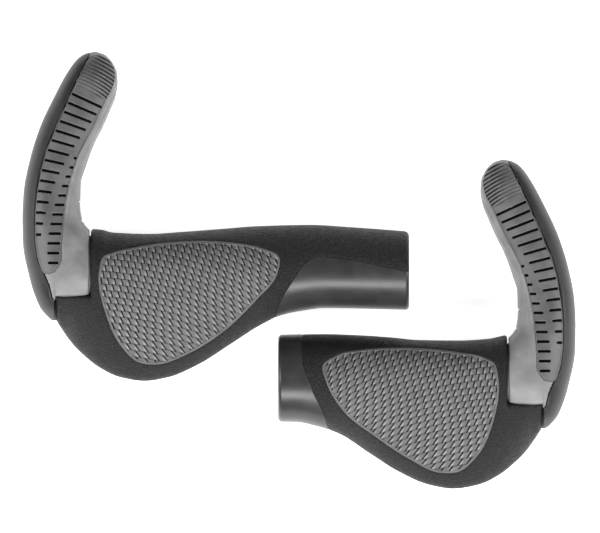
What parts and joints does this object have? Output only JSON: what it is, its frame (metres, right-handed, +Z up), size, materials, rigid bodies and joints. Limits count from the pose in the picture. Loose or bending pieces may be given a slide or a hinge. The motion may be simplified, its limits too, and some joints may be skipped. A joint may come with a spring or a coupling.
{
  "type": "bar end grips",
  "caption": "Winged bicycle grips with curved bar ends, a long and a short one: each has a palm wing with a tiled pad and a ribbed horn clamped to the bar.",
  "frame": {"origin": "middle of the pair's footprint, on the surface the grips lie on", "axes": "+Z up from the surface, +Y forward along the horns, +X to the right along both handlebar bores"},
  "size_m": [0.2268, 0.1791, 0.0336],
  "materials": {
    "core_nylon": "satin moulded",
    "stippled_rubber": "fine leather grain",
    "pad_rubber": "slanted tile texture",
    "satin_sleeve": "smooth satin",
    "horn_plastic": "satin moulded",
    "shell_plastic": "smooth satin",
    "inlay_rubber": "ribbed satin",
    "ring_aluminium": "machined",
    "bolt_steel": "black oxide"
  },
  "bodies": {
    "long_grip": {"long_core_sleeve": "core_nylon", "long_grip_rubber": "stippled_rubber", "long_palm_pad": "pad_rubber", "long_finger_sleeve": "satin_sleeve"},
    "long_bar_end": {"long_bar_end_body": "horn_plastic", "long_bar_end_outer_shell": "shell_plastic", "long_bar_end_inlay": "inlay_rubber", "long_clamp_ring": "ring_aluminium", "long_clamp_nut": "bolt_steel"},
    "long_washer": {"long_clamp_washer": "bolt_steel"},
    "long_bolt": {"long_clamp_bolt": "bolt_steel"},
    "short_grip": {"short_core_sleeve": "core_nylon", "short_grip_rubber": "stippled_rubber", "short_palm_pad": "pad_rubber", "short_finger_sleeve": "satin_sleeve"},
    "short_bar_end": {"short_bar_end_body": "horn_plastic", "short_bar_end_outer_shell": "shell_plastic", "short_bar_end_inlay": "inlay_rubber", "short_clamp_ring": "ring_aluminium", "short_clamp_nut": "bolt_steel"},
    "short_washer": {"short_clamp_washer": "bolt_steel"},
    "short_bolt": {"short_clamp_bolt": "bolt_steel"}
  },
  "joints": [
    {"name": "long_bar_end_tilt", "type": "hinge", "parent": "long_grip", "child": "long_bar_end", "pos_m": [-0.0854, 0, 0.0168], "axis": [1, 0, 0], "range_deg": [-25, 25]},
    {"name": "long_bolt_travel", "type": "slide", "parent": "long_bar_end", "child": "long_washer", "axis": [0, 0, -1], "range_m": [0, 0.0024]},
    {"name": "long_bolt_turn", "type": "hinge", "parent": "long_washer", "child": "long_bolt", "pos_m": [-0.0944, 0.019, 0.0068], "axis": [0, 0, -1], "range_deg": [0, 1081]},
    {"name": "short_grip_lift", "type": "slide", "parent": "long_grip", "child": "short_grip", "axis": [0, 0, 1], "range_m": [0, 0.08]},
    {"name": "short_bar_end_tilt", "type": "hinge", "parent": "short_grip", "child": "short_bar_end", "pos_m": [0.0854, -0.0442, 0.0168], "axis": [1, 0, 0], "range_deg": [-25, 25]},
    {"name": "short_bolt_travel", "type": "slide", "parent": "short_bar_end", "child": "short_washer", "axis": [0, 0, -1], "range_m": [0, 0.0024]},
    {"name": "short_bolt_turn", "type": "hinge", "parent": "short_washer", "child": "short_bolt", "pos_m": [0.0944, -0.0252, 0.0068], "axis": [0, 0, -1], "range_deg": [0, 1081]}
  ],
  "couplings": [
    {"joint": "long_bolt_turn", "follows": "long_bolt_travel", "rad_per_m": 7854},
    {"joint": "short_bolt_turn", "follows": "short_bolt_travel", "rad_per_m": 7854}
  ]
}
